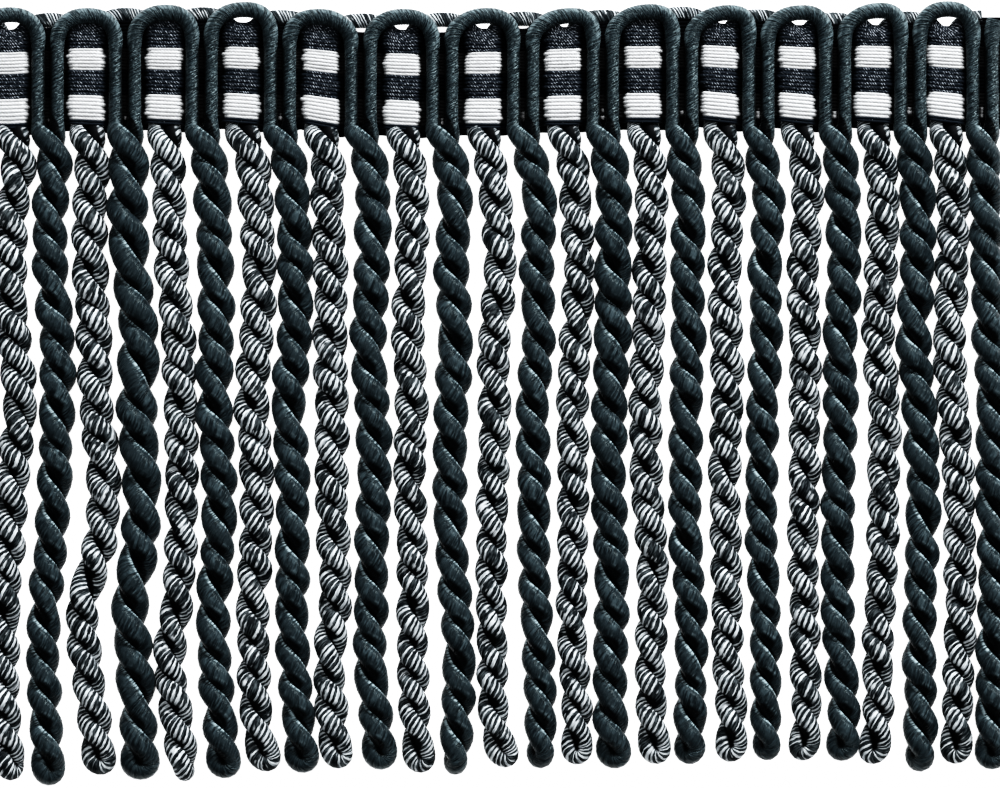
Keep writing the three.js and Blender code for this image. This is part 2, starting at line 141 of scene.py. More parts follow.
def smooth_at(knots, values, at):
    knots = np.asarray(knots, float)
    values = np.asarray(values, float)
    at = np.clip(at, knots[0], knots[-1])
    slope = np.gradient(values) / np.gradient(knots)
    i = np.clip(np.searchsorted(knots, at) - 1, 0, len(knots) - 2)
    span = knots[i + 1] - knots[i]
    t = (at - knots[i]) / span
    bend = t * t * (3 - 2 * t)
    leave = t * (1 - t) ** 2 * slope[i] * span
    arrive = t**2 * (1 - t) * slope[i + 1] * span
    return values[i] + (values[i + 1] - values[i]) * bend + leave - arrive


def ease(low, high, at):
    t = np.clip((np.asarray(at, float) - low) / (high - low), 0, 1)
    return t * t * (3 - 2 * t)


def blend(first, second, share):
    return first + (second - first) * share


half_way = float(smooth_at(STATIONS, black_rows[3]["sway"], 85))
print("the fourth black bullion's sway half way down:", round(half_way, 2), "mm")

# %% [markdown]
# ## The unrest of hand work
# A bullion is twisted by hand, so it turns tighter in one place than in another and swells a little.
# Noise would do this too, but a few slow waves stay smooth along the ply and are easy to follow.
# Every bullion has its own phases from a fixed seed, so the waves never line up across the trim.
# Fullness compares a bullion with a plain one of the common width.

# %% Slow waves and fullness
PLY_HALF = 1.92
PLY_HALF_THICK = 1.97
HELIX = 1.52
PLAIN_WIDE = 2 * (PLY_HALF + HELIX)
PLUMP = 0.06
PLUMP_FADES = (60, 125)
UNREST_STARTS = (30, 36)
UNREST_STOPS = 5
SLOW_TURN = {"phase": 0, "size": 13, "length": 21}
QUICK_TURN = {"phase": 1, "size": 8, "length": 12.3}
SIDE_SWAY = {"phase": 2, "size": 0.14, "length": 8.6}
SWELLING = {"phase": 3, "size": 0.035, "length": 10.4}


def unrest(row, wave, depth):
    """A slow wave down a bullion, which is still at both ends."""
    between_ends = ease(*UNREST_STARTS, depth) * (1 - ease(row["last"] - UNREST_STOPS, row["last"], depth))
    swing = np.sin(2 * math.pi * depth / wave["length"] + row["phases"][wave["phase"]])
    return wave["size"] * (between_ends * swing)


def fullness(row, depth):
    """How thick a bullion is beside a plain one; each is a little thicker near the heading."""
    uneven = 1 + unrest(row, SWELLING, depth)
    return row["wide"] / PLAIN_WIDE * uneven * (1 + PLUMP * (1 - ease(*PLUMP_FADES, depth)))


widths = [row["wide"] for row in black_rows + mixed_rows]
print("bullions are", min(widths), "to", max(widths), "mm wide")

# %% [markdown]
# ## The path of one bullion
# Each ply is a helix: it keeps its distance from the bullion's middle line while its angle turns.
# The angle comes from the counted crossings, so the lobes fall where they are seen.
# In the heading the angle stays still and the same formula gives the two straight legs.
# At the end a half circle joins one ply to the other, which is the loop.
# The second leg is tucked behind the first where it leaves the heading, and its path remembers that for
# painted shade.
# Each kind of cord has its own first crossing, and its own level and distance between its legs.
# The half sizes of its legs and arches, and the reach of its painted shade, are kept for later.

# %% Ply and loop paths
LOOP_LENGTH = 3.4
LOOP_BLEND = 3
LOOP_POINTS = 24
SETTLE_POWER = 1.3
DRAFT_STEP = 0.2
LEGS_JOIN = (23.0, 26.5)
TUCK_STARTS = (22.0, 24.0)
TUCK_ENDS = (26.5, 29.0)
BLACK_KIND = {
    "first": 28.1,
    "lift_from": 22.5,
    "leg_level": 3.7,
    "half_gap": 1.85,
    "leg": (1.3, 1.38),
    "arch": (1.55, 1.4),
    "groove": (-0.05, 1.75),
}
MIXED_KIND = {
    "first": 28.9,
    "lift_from": 22.0,
    "leg_level": 1.15,
    "half_gap": 1.5,
    "leg": (1.5, 1.12),
    "arch": (1.45, 1.12),
    "groove": (-0.45, 1.4),
}


def ply_angle(row, kind, depth):
    """Angle of the first ply in degrees: 180 is left, 90 is in front."""
    half_turn = (row["last"] - kind["first"]) / row["crossings"]
    angle = 90 - 180 * (depth - kind["first"]) / half_turn
    angle = angle + unrest(row, SLOW_TURN, depth) + unrest(row, QUICK_TURN, depth)
    last_angle = 90 - 180 * row["crossings"]
    t = np.clip((depth - row["last"]) / (row["reach"] - LOOP_LENGTH - row["last"]), 0, 1)
    settling = last_angle - row["turn"] * (1 - (1 - t) ** SETTLE_POWER)
    return np.minimum(180, np.where(depth > row["last"], settling, angle))


def middle_line(row, depth):
    sway = smooth_at(STATIONS + [row["reach"]], row["sway"] + [row["tip"]], depth)
    return row["place"] + sway + unrest(row, SIDE_SWAY, depth)


def ply_path(row, kind, depth, other):
    """Points, outward directions, shares in the heading, in the loop and tucked away, and fullness."""
    turn = np.radians(ply_angle(row, kind, depth) + (180 if other else 0))
    in_heading = 1 - ease(*LEGS_JOIN, depth)
    full = fullness(row, depth)
    twisted = HELIX * full
    radius = blend(twisted, kind["half_gap"], in_heading)
    lifted = ease(kind["lift_from"], kind["first"], depth)
    level = blend(kind["leg_level"], PLAIN_WIDE / 2 * full, lifted)
    x = middle_line(row, depth) + radius * np.cos(turn)
    z = level + radius * np.sin(turn)
    points = np.column_stack([x, TOP - depth, z])
    outward = np.column_stack([np.cos(turn), np.zeros_like(turn), np.sin(turn)])
    loop_from = row["reach"] - LOOP_LENGTH
    in_loop = ease(loop_from - LOOP_BLEND, loop_from, depth)
    tucked = ease(*TUCK_STARTS, depth) * (1 - ease(*TUCK_ENDS, depth)) * other
    return points, outward, in_heading, in_loop, tucked, full


def loop_path(row, kind):
    """The half circle at a bullion's end, with the same six things as a ply."""
    depth = row["reach"] - LOOP_LENGTH
    end = np.radians(ply_angle(row, kind, np.array([depth]))[0])
    t = np.linspace(0, math.pi, LOOP_POINTS)[1:-1]
    side = np.array([math.cos(end), 0, math.sin(end)])
    down = np.array([0, -1, 0])
    out = np.outer(np.cos(t), side) + np.outer(np.sin(t), down)
    tip = middle_line(row, np.array([row["reach"]]))[0]
    middle = middle_line(row, np.array([depth]))[0]
    full = np.full_like(t, fullness(row, depth))
    x = blend(middle, tip, np.sin(t))
    centre = np.column_stack([x, np.full_like(t, TOP - depth), PLAIN_WIDE / 2 * full])
    reach = np.column_stack([HELIX * full, LOOP_LENGTH - PLY_HALF * full, HELIX * full])
    return centre + out * reach, out, np.zeros_like(t), np.ones_like(t), np.zeros_like(t), full


half_turns = [(row["last"] - BLACK_KIND["first"]) / row["crossings"] for row in black_rows]
print("half a turn of a black bullion takes", round(float(np.mean(half_turns)), 2), "mm")

# %% [markdown]
# ## The arches
# The cord leaves one bullion, climbs a leg, bends over in an arch and comes down into the next bullion.
# An arch is a rounded curve between two legs. A power below one makes its shoulders squarer than a circle's.
# Each arch on the face has its own top and lean. Those on the back stand straight, each with its own top.
# The rest of a row is for the warp block inside the arch: its drop, the parting above it and its slope.

# %% Arch paths
ARCH_COLUMNS = ("top", "lean", "drop", "parting", "slope")
ARCH_TABLE = [
    (1.1, 0, 0.9, 1.3, 0),
    (1.3, 0.4, 0.1, 0.9, 0.6),
    (0.7, 0.6, 0, 0.4, 0.5),
    (0.1, 0.7, -0.2, 1, 0.5),
    (1.5, -0.6, 0.4, 0.7, 1.1),
    (1.5, 0.5, 1.1, 1.1, 0.4),
    (1.3, 0.8, 0.8, 1.2, 0.3),
    (1.3, 1.6, 0.2, 1.5, 0.2),
    (0.5, 1.4, -0.3, 0.4, 0.2),
    (0.7, 1.8, -0.4, 1.4, 0.8),
    (0.7, 1, -0.2, 1.5, 0.8),
    (0.3, 1.4, -0.4, 1.7, 0.6),
    (0, 0.3, -0.4, 1.9, 1),
]
BACK_TOPS = [2, 1, 0.9, 1.4, 2.1, 1.9, 1.7, 1.4, 0.8, 1.3, 1.9, 1.7]
CORD_HALF = 1.5
ARCH_POINTS = 60
face_arches = [dict(zip(ARCH_COLUMNS, line)) for line in ARCH_TABLE]
back_arches = [{"top": top, "lean": 0} for top in BACK_TOPS]


def arch_path(left, right, arch, level, joins, start=0.0, stop=180.0):
    """From the leg at the left, over the crest, to the leg at the right."""
    t = np.radians(np.linspace(start, stop, ARCH_POINTS))
    c = np.cos(t)
    s = np.sin(t)
    crest = arch["top"] + CORD_HALF
    spread = (right - left) / 2 * np.sign(c) * np.abs(c) ** joins["squareness"]
    x = (left + right) / 2 - spread + arch["lean"] * s * s
    y = TOP - crest - joins["rise"] * (1 - s)
    points = np.column_stack([x, y, np.full_like(t, level)])
    inward = np.column_stack([c, -s, np.zeros_like(t)])
    return points, inward, np.ones_like(t), np.zeros_like(t), np.zeros_like(t), np.ones_like(t)


print(len(face_arches), "arches on the face and", len(back_arches), "on the back")

# %% [markdown]
# ## Walking along a line
# The wrapping goes round a cord in even turns, so its line is walked at an even step, half a wrap long.
# A running average then takes out the small corners where one formula hands over to the next.
# A curve could be resampled as well, but here every value along the cord has to walk with the points.

# %% Even steps and softening
WRAP = 0.6
RING_STEP = WRAP / 2
SOFTEN = 0.55


def soften(values, step, width):
    reach = int(3 * width / step)
    offsets = np.arange(-reach, reach + 1) * step
    weights = np.exp(-0.5 * (offsets / width) ** 2)
    weights /= weights.sum()
    padded = np.concatenate([np.repeat(values[:1], reach, 0), values, np.repeat(values[-1:], reach, 0)])
    return np.column_stack([np.convolve(column, weights, "valid") for column in padded.T])


def even_steps(points, step):
    gaps = np.linalg.norm(np.diff(points, axis=0), axis=1)
    travelled = np.concatenate([[0], np.cumsum(gaps)])
    return travelled, np.arange(0, travelled[-1], step)


print("a cord is walked in steps of", RING_STEP, "mm")

# %% [markdown]
# ## One unbroken cord
# The stretches are laid end to end in the order the cord really runs.
# It comes down one ply, goes round the loop, climbs the other ply and crosses an arch to the next bullion.
# At both ends of the trim the cord is cut through in an arch.
# The crests of the arches are noted, because a long cord is parted there later.

# %% Lay a whole cord
FACE_JOINS = {
    "arches": face_arches,
    "end": {"top": 1.0, "lean": 0},
    "span": 3.0,
    "cut": 120,
    "rise": 4.9,
    "squareness": 0.8,
}
BACK_JOINS = {
    "arches": back_arches,
    "end": {"top": 1.4, "lean": 0},
    "span": PITCH - 2 * MIXED_KIND["half_gap"],
    "cut": 90,
    "rise": 4.4,
    "squareness": 0.85,
}


def leg_depths(row, arch, joins):
    """Depths from the foot of an arch down to a bullion's loop."""
    foot = arch["top"] + CORD_HALF + joins["rise"] + DRAFT_STEP
    return np.arange(foot, row["reach"] - LOOP_LENGTH, DRAFT_STEP)


def lay_cord(rows, kind, joins):
    """The whole cord through all its bullions and arches, from cut end to cut end."""
    level = kind["leg_level"]
    half_gap = kind["half_gap"]
    first_leg = rows[0]["pair"] - half_gap
    cut_arch = first_leg - joins["span"]
    stretches = [arch_path(cut_arch, first_leg, joins["end"], level, joins, start=joins["cut"])]
    arches = [joins["end"], *joins["arches"], joins["end"]]
    marks = []
    for index, row in enumerate(rows):
        before, after = arches[index:index + 2]
        climb = ply_path(row, kind, leg_depths(row, after, joins), other=True)
        stretches.append(ply_path(row, kind, leg_depths(row, before, joins), other=False))
        stretches.append(loop_path(row, kind))
        stretches.append(tuple(part[::-1] for part in climb))
        right_leg = row["pair"] + half_gap
        if index < len(rows) - 1:
            marks.append(sum(len(stretch[0]) for stretch in stretches) + ARCH_POINTS // 2)
            next_leg = rows[index + 1]["pair"] - half_gap
            stretches.append(arch_path(right_leg, next_leg, after, level, joins))
        else:
            stop = 180 - joins["cut"]
            stretches.append(arch_path(right_leg, right_leg + joins["span"], after, level, joins, stop=stop))
    parts = [np.concatenate(part) for part in zip(*stretches)]
    travelled, even = even_steps(parts[0], RING_STEP)
    walked = np.column_stack([np.interp(even, travelled, column) for column in np.column_stack(parts).T])
    walked = soften(walked, RING_STEP, SOFTEN)
    cord = {"points": walked[:, :3], "outward": walked[:, 3:6]}
    for column, label in enumerate(("heading", "loop", "tucked", "full"), 6):
        cord[label] = walked[:, column]
    cord["crests"] = [int(travelled[mark] / RING_STEP) for mark in marks]
    return cord


black_cord = lay_cord(black_rows, BLACK_KIND, FACE_JOINS)
mixed_cord = lay_cord(mixed_rows, MIXED_KIND, BACK_JOINS)
for label, cord in (("black", black_cord), ("mixed", mixed_cord)):
    print("the", label, "cord is", round(len(cord["points"]) * RING_STEP / 1000, 2), "m long")

# %% [markdown]
# ## From a line to a round cord
# A mesh of rings along the line gives full control of a cord's section, which a bevelled curve does not.
# A ply is round outside and pressed flat where it lies against the other ply, so its ring is cut off there.
# Every ring has two directions: outwards from the bullion's middle, and sideways from that.

# %% Rings round a line
SIDES = 12


def cord_frame(points, outward):
    along = np.gradient(points, axis=0)
    along /= np.linalg.norm(along, axis=1)[:, None]
    across = outward - (outward * along).sum(1)[:, None] * along
    across /= np.linalg.norm(across, axis=1)[:, None]
    return across, np.cross(along, across)


def section_points(half_wide, half_thick, sides, flat=None):
    """Each ring's points, outwards and sideways from the line; flat is how far in the section may reach."""
    turn = np.linspace(0, 2 * math.pi, sides, endpoint=False)
    out = half_wide[:, None] * np.cos(turn)
    if flat is not None:
        out = np.maximum(out, -flat[:, None])
    return out, half_thick[:, None] * np.sin(turn)


def ring_points(points, outward, section):
    across, over = cord_frame(points, outward)
    out, side = section
    return points[:, None, :] + out[:, :, None] * across[:, None, :] + side[:, :, None] * over[:, None, :]


print("a cord ring has", SIDES, "points")

# %% [markdown]
# ## A mesh that remembers the straight cord
# Each point remembers where it would lie if the cord were pulled straight: along, outwards and sideways.
# A finish can then follow the cord round every twist instead of being projected through it.
# Three more numbers are kept for a point: its share in the heading, how far its painted shade reaches and its
# light.
# The skin is also laid out in strips on a flat sheet, for finishes that are baked into a picture.

# %% A ring mesh with memory
STRIP_MARGIN = 0.04
STRIP_WIDE = 0.92


def strip_layout(rings, sides, start, columns):
    """Places a cord's skin on a square sheet, in side by side strips, for each face's corners."""
    per_column = math.ceil(rings / columns["of_each"])
    ring = np.arange(rings - 1)[:, None]
    side = np.arange(sides)[None, :]
    column = start * columns["of_each"] + ring // per_column
    corners = []
    for right, up in ((0, 0), (1, 0), (1, 1), (0, 1)):
        u = (column + STRIP_MARGIN + STRIP_WIDE * (side + right) / sides) / columns["in_all"]
        v = np.broadcast_to((ring % per_column + up) / per_column, u.shape)
        corners.append(np.stack([u, v], -1))
    return np.stack(corners, 2)


def tube_faces(rings, sides, first):
    ring = np.arange(rings - 1)[:, None] * sides
    side = np.arange(sides)[None, :]
    following = (side + 1) % sides
    quads = np.stack([ring + side, ring + following, ring + sides + following, ring + sides + side], -1)
    return first + quads.reshape(-1, 4)


def new_object(name, data):
    piece = bpy.data.objects.new(name, data)
    bpy.context.scene.collection.objects.link(piece)
    return piece


def cord_object(name, tubes, sides, columns):
    """One mesh of several tubes: each has rings of points, straight points and the three numbers."""
    points, straight, quads, layout, caps = [], [], [], [], []
    marks = {"heading": [], "groove": [], "lit": []}
    first = 0
    for index, tube in enumerate(tubes):
        rings = len(tube["rings"])
        points.append(tube["rings"].reshape(-1, 3) * MM)
        straight.append(tube["straight"].reshape(-1, 3))
        for label, values in marks.items():
            values.append(np.broadcast_to(tube[label].reshape(rings, -1), (rings, sides)).ravel())
        quads.append(tube_faces(rings, sides, first))
        layout.append(strip_layout(rings, sides, index, columns).reshape(-1, 2))
        caps.append(list(range(first, first + sides))[::-1])
        caps.append(list(range(first + (rings - 1) * sides, first + rings * sides)))
        first += rings * sides
    mesh = bpy.data.meshes.new(name)
    mesh.from_pydata(np.concatenate(points).tolist(), [], np.concatenate(quads).tolist() + caps)
    mesh.shade_smooth()
    memory = mesh.attributes.new("straight", "FLOAT_VECTOR", "POINT")
    memory.data.foreach_set("vector", np.concatenate(straight).ravel().astype(np.float32))
    for label, values in marks.items():
        mark = mesh.attributes.new(label, "FLOAT", "POINT")
        mark.data.foreach_set("value", np.concatenate(values).astype(np.float32))
    sheet = mesh.uv_layers.new(name="OFBake")
    corners = np.concatenate(layout + [np.zeros((len(caps) * sides, 2))])
    sheet.uv.foreach_set("vector", corners.ravel().astype(np.float32))
    return new_object(name, mesh)


print("each point keeps its straight place, heading, groove and lit")

# %% [markdown]
# ## Where the shade lies
# The shade between two plies is painted into the colour, and the eye reads the dark groove as the depth of
# the twist.
# The painted shade lies mostly on one flank of a ply, the one that dips under the other ply.
# There the shade opens and closes like a leaf at each crossing. The other flank keeps a crisp edge and a
# painted pale highlight.
# Lamps alone would leave the grooves grey, so each point is told how far out the painted shade reaches there.

# %% Shade along a cord
# How far out the painted shade reaches on the legs, the arches, the loops and the tucked root of the second
# leg.
LEG_GROOVE = -0.7
ARCH_GROOVE = -3.0
LOOP_GROOVE = -0.45
TUCKED_GROOVE = 0.9
LEG_STARTS = (6.0, 10.0)
LEAF_ANGLE = math.radians(60)
LEAF_OPENS = (-0.4, 0.85)
FLANK_EDGE = 0.5


def by_part(cord, bullion, leg, arch):
    """A value along a cord that passes from arches to legs and on to the bullions."""
    leg_share = ease(*LEG_STARTS, TOP - cord["points"][:, 1])
    in_heading = blend(arch, leg, leg_share)
    return blend(bullion, in_heading, cord["heading"])


def dark_flank(cord, side_share):
    """One on the flank that dips under, nothing on the lit one; the sides change places on the climb."""
    climbing = np.sign(np.gradient(cord["points"][:, 1]))
    return ease(FLANK_EDGE, -FLANK_EDGE, climbing[:, None] * side_share)


def groove_edges(cord, kind, flank):
    """How far out from a ply's middle its shade reaches: little on the lit flank, far on the other."""
    lit, shaded = kind["groove"]
    x, _, z = cord["outward"].T
    turned = math.cos(2 * LEAF_ANGLE) * (x**2 - z**2) + math.sin(2 * LEAF_ANGLE) * 2 * x * z
    leaf = ease(*LEAF_OPENS, turned)
    edges = []
    for reach in (lit, blend(lit, shaded, leaf)):
        edge = by_part(cord, reach, LEG_GROOVE, ARCH_GROOVE)
        edge = blend(edge, LOOP_GROOVE, cord["loop"])
        edges.append(blend(edge, TUCKED_GROOVE, cord["tucked"]))
    return blend(edges[0][:, None], edges[1][:, None], flank)


print("shade is widest at", round(math.degrees(LEAF_ANGLE)), "degrees up from the right")

# %% [markdown]
# ## The black and the mixed cord as pieces
# A cord of several metres makes a large mesh, so each colour is cut into three lengths at arch crests.
# The cut is a butt joint between two rings in the same place, and it doesn't show.
# Every second ring is a hair wider, so the turns of the wrapping yarn stand up as fine ribs.
# In the heading the warps press the cord a little flat. In a bullion it has the bullion's fullness.

# %% Build the cord lengths
RIB = 0.03
UNEVEN = 0.02
UNEVEN_LENGTH = 1.5
CORD_STRIPS = 15


def wobble(count, seed):
    noise = np.random.default_rng(seed).normal(size=(count, 1))
    smooth = soften(noise, RING_STEP, UNEVEN_LENGTH)[:, 0]
    return smooth / smooth.std()


def cord_lengths(name, cord, kind, seed, cuts):
    count = len(cord["points"])
    heading = cord["heading"]
    fuller = cord["full"]
    uneven = 1 + UNEVEN * wobble(count, seed)
    rib = RIB * np.where(np.arange(count) % 2 == 0, -1, 1)
    half_wide = by_part(cord, PLY_HALF * fuller, kind["leg"][0], kind["arch"][0]) * uneven + rib
    half_thick = by_part(cord, PLY_HALF_THICK * fuller, kind["leg"][1], kind["arch"][1]) * uneven + rib
    flat = blend(HELIX * fuller, kind["half_gap"], heading)
    section = section_points(half_wide, half_thick, SIDES, flat)
    along = np.repeat(np.arange(count)[:, None] * RING_STEP, SIDES, 1)
    flank = dark_flank(cord, section[1] / half_thick[:, None])
    whole = {"rings": ring_points(cord["points"], cord["outward"], section)}
    whole["straight"] = np.stack([along, *section], -1)
    whole["heading"] = heading
    whole["groove"] = groove_edges(cord, kind, flank)
    whole["lit"] = (1 - flank) * ((1 - heading) * (1 - cord["loop"]))[:, None]
    edges = [0] + [cord["crests"][cut] for cut in cuts] + [count - 1]
    strips = {"of_each": CORD_STRIPS, "in_all": CORD_STRIPS}
    pieces = []
    for index, (low, high) in enumerate(zip(edges, edges[1:]), 1):
        tube = {label: values[low:high + 1] for label, values in whole.items()}
        pieces.append(cord_object(f"{name}_{index}", [tube], SIDES, strips))
    return pieces


black_pieces = cord_lengths("black_gimp_length", black_cord, BLACK_KIND, 11, cuts=(4, 9))
mixed_pieces = cord_lengths("mixed_gimp_length", mixed_cord, MIXED_KIND, 12, cuts=(3, 8))
for piece in black_pieces + mixed_pieces:
    print(piece.name, "has", len(piece.data.polygons), "faces")

# %% [markdown]
# ## The warp yarns
# Four bands of yarn run along the heading: black, white, black and white from the arches down.
# A yarn floats over the two legs of the mixed cord, which raises a block inside each arch.
# Then it dives under the black legs. Two black edge yarns and a low binding close the foot of the heading.
# Each yarn is a round tube that rises and dips, so the blocks get their ribs and soft ends.
# The topmost yarns are loose and sag in the middle of an arch, which leaves a small gap under its crest.
# Between two arches they part as well, and a few of these slits are wider.

# %% Where a warp yarn runs
YARN_STEP = 0.55
YARN_LOW = 1.75
YARN_HIGH = 3.05
BAND_PILLOW = 0.35
BLOCK_INNER = 2.8
BLOCK_OUTER = 4.0
BLOCK_ROUND = 0.35
BLOCK_SPREAD = 0.12
SLOPE_FADE = 1.6
HEADING_FOOT = 22.9
PARTING_REACH = (0.5, 3.0)
LEAN_SHARE = 0.4
SLIT_TOP = 0.8
WIDE_SLITS = (5, 6, 7)
WIDE_SLIT = 0.4
END_SHADE = (2.5, 1.5)
pairs = [row["pair"] for row in mixed_rows]
drops = [arch["drop"] for arch in face_arches]
partings = [(pair + LEAN_SHARE * arch["lean"], arch["parting"]) for pair, arch in zip(pairs, face_arches)]
for index, top in enumerate(BACK_TOPS, 1):
    partings.append((black_rows[index]["pair"], top - SLIT_TOP + WIDE_SLIT * (index in WIDE_SLITS)))


def yarn_path(depth, across_band, shifts, levels, loose):
    """Points, height over a block and shade; across_band runs from -1 at the upper edge to 1."""
    low, high, pillow = levels
    x = np.arange(-CUT_END, CUT_END + YARN_STEP / 2, YARN_STEP)
    lift = np.zeros_like(x)
    bulge = np.zeros_like(x)
    for pair, shift in zip(pairs, shifts):
        away = np.abs(x - pair - shift[0]) + BLOCK_ROUND * across_band**2 + shift[1]
        lift = np.maximum(lift, 1 - ease(BLOCK_INNER, BLOCK_OUTER, away))
        bulge = np.maximum(bulge, np.clip(1 - (away / BLOCK_OUTER) ** 2, 0, 1))
    y = TOP - depth - smooth_at(pairs, drops, x) - BLOCK_SPREAD * across_band * bulge
    for pair, arch in zip(pairs, face_arches):
        aside = np.clip((x - pair) / (2 * BLOCK_OUTER), -0.5, 0.5)
        inside = 1 - ease(BLOCK_OUTER, BLOCK_OUTER + SLOPE_FADE, np.abs(x - pair))
        y -= arch["slope"] * depth / HEADING_FOOT * aside * inside
    for place, parting in partings:
        y -= loose * parting * (1 - ease(*PARTING_REACH, np.abs(x - place)))
    z = blend(low, high, lift) + pillow * bulge * (1 - across_band**2)
    covered = 1 - ease(CUT_END - END_SHADE[0], CUT_END - END_SHADE[1], np.abs(x))
    return np.column_stack([x, y, z]), bulge, (1 - lift) * covered


print(len(partings), "partings in the uppermost yarns")

# %% [markdown]
# ## The warp bands as pieces
# A band is one piece of yarns that lie a little closer than they are wide, so they leave no gaps.
# The yarns of a band end their floats at slightly different places, as woven ones do.
# Under the black legs a yarn lies in deep shade, which is kept as its groove and painted into its colour.
# In the slots between black legs a speck of the lowest white yarns shows, in some more than in others.

# %% Build the warp bands
YARN_SIDES = 6
YARN_HALF = 0.64
YARN_APART = 37.0
FLOAT_SHIFT = 0.1
LOOSE_FADE = 1.5
SLOT_REACH = (0.1, 0.7)
GLIMPSE_FROM = (-0.3, 0.5)


def yarn_band(name, slot, upper, lower, yarns, **own):
    """A row of yarns between two depths; own values replace the common ones."""
    common = {"loose": 0.0, "glimpse": 0.0, "glints": 1.0, "levels": (YARN_LOW, YARN_HIGH, BAND_PILLOW)}
    return {"name": name, "slot": slot, "from": upper, "to": lower, "yarns": yarns} | common | own


BANDS = [
    yarn_band("warp_black_upper", "black_warp", 3.4, 9.0, 8, loose=1.0),
    yarn_band("warp_white_upper", "white_warp", 9.05, 13.25, 7),
    yarn_band("warp_black_lower", "black_warp", 13.3, 18.1, 7),
    yarn_band("warp_white_lower", "white_warp", 18.15, 22.9, 7, glimpse=0.95),
]
EDGE_BAND = yarn_band("heading_edge", "black_warp", 22.95, 23.8, 2, glints=0.0)
BINDING_BAND = yarn_band("heading_binding", "black_warp", 23.75, 25.1, 3, glints=0.0, levels=(0.3, 0.3, 0.0))


def warp_band(band, seed):
    random = np.random.default_rng(seed)
    spacing = (band["to"] - band["from"]) / band["yarns"]
    tubes = []
    for index in range(band["yarns"]):
        depth = band["from"] + (index + 0.5) * spacing
        across_band = (2 * index + 1) / band["yarns"] - 1
        shifts = random.normal(size=(len(pairs), 2)) * FLOAT_SHIFT
        loose = band["loose"] * (1 - index / (band["yarns"] - 1)) ** LOOSE_FADE
        points, bulge, shade = yarn_path(depth, across_band, shifts, band["levels"], loose)
        for row, share in zip(black_rows, random.uniform(size=len(black_rows))):
            slot = 1 - ease(*SLOT_REACH, np.abs(points[:, 0] - row["pair"]))
            shade *= 1 - band["glimpse"] * ease(*GLIMPSE_FROM, across_band) * share * slot
        up = np.tile([0.0, 0.0, 1.0], (len(points), 1))
        half = np.full(len(points), spacing * YARN_HALF)
        section = section_points(half, half, YARN_SIDES)
        along = np.repeat(points[:, :1] + YARN_APART * index, YARN_SIDES, 1)
        tube = {"rings": ring_points(points, up, section)}
        tube["straight"] = np.stack([along, *section], -1)
        tube["heading"] = bulge * band["glints"]
        tube["groove"] = shade
        tube["lit"] = np.zeros_like(shade)
        tubes.append(tube)
    columns = {"of_each": 2, "in_all": 2 * band["yarns"]}
    return cord_object(band["name"] + "_yarns", tubes, YARN_SIDES, columns)


warp_pieces = [warp_band(band, 21 + index) for index, band in enumerate(BANDS)]
edge_pieces = [warp_band(EDGE_BAND, 31), warp_band(BINDING_BAND, 32)]
for piece in warp_pieces + edge_pieces:
    print(piece.name, "has", len(piece.data.polygons), "faces")

# %% [markdown]
# ## Tying the pieces to the frame
# The trim has no moving joint, so every piece rides on its one body.
# Each cord and band stands for the plain solid of the same part, which is then hidden.
# The edge and binding yarns have no solid of their own and only ride along.

# %% Ride and replace
for pieces, node in ((black_pieces, "black_gimp"), (mixed_pieces, "mixed_gimp")):
    for piece in pieces:
        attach(piece, "root")
        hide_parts(node)
for piece, band in zip(warp_pieces, BANDS):
    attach(piece, "root")
    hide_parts(band["name"])
for piece in edge_pieces:
    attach(piece, "root")
print(len(black_pieces + mixed_pieces + warp_pieces + edge_pieces), "pieces ride on the trim")

# %% [markdown]
# ## Building finishes from nodes
# A finish is a small graph of shader nodes. A helper adds a node and sets or joins its inputs.
# Each point's memory of the straight cord is the coordinate for every pattern, in millimetres.
# Noise in that coordinate can be stretched along or across the cord, which gives strands, fibres or patches.

# %% Node helpers


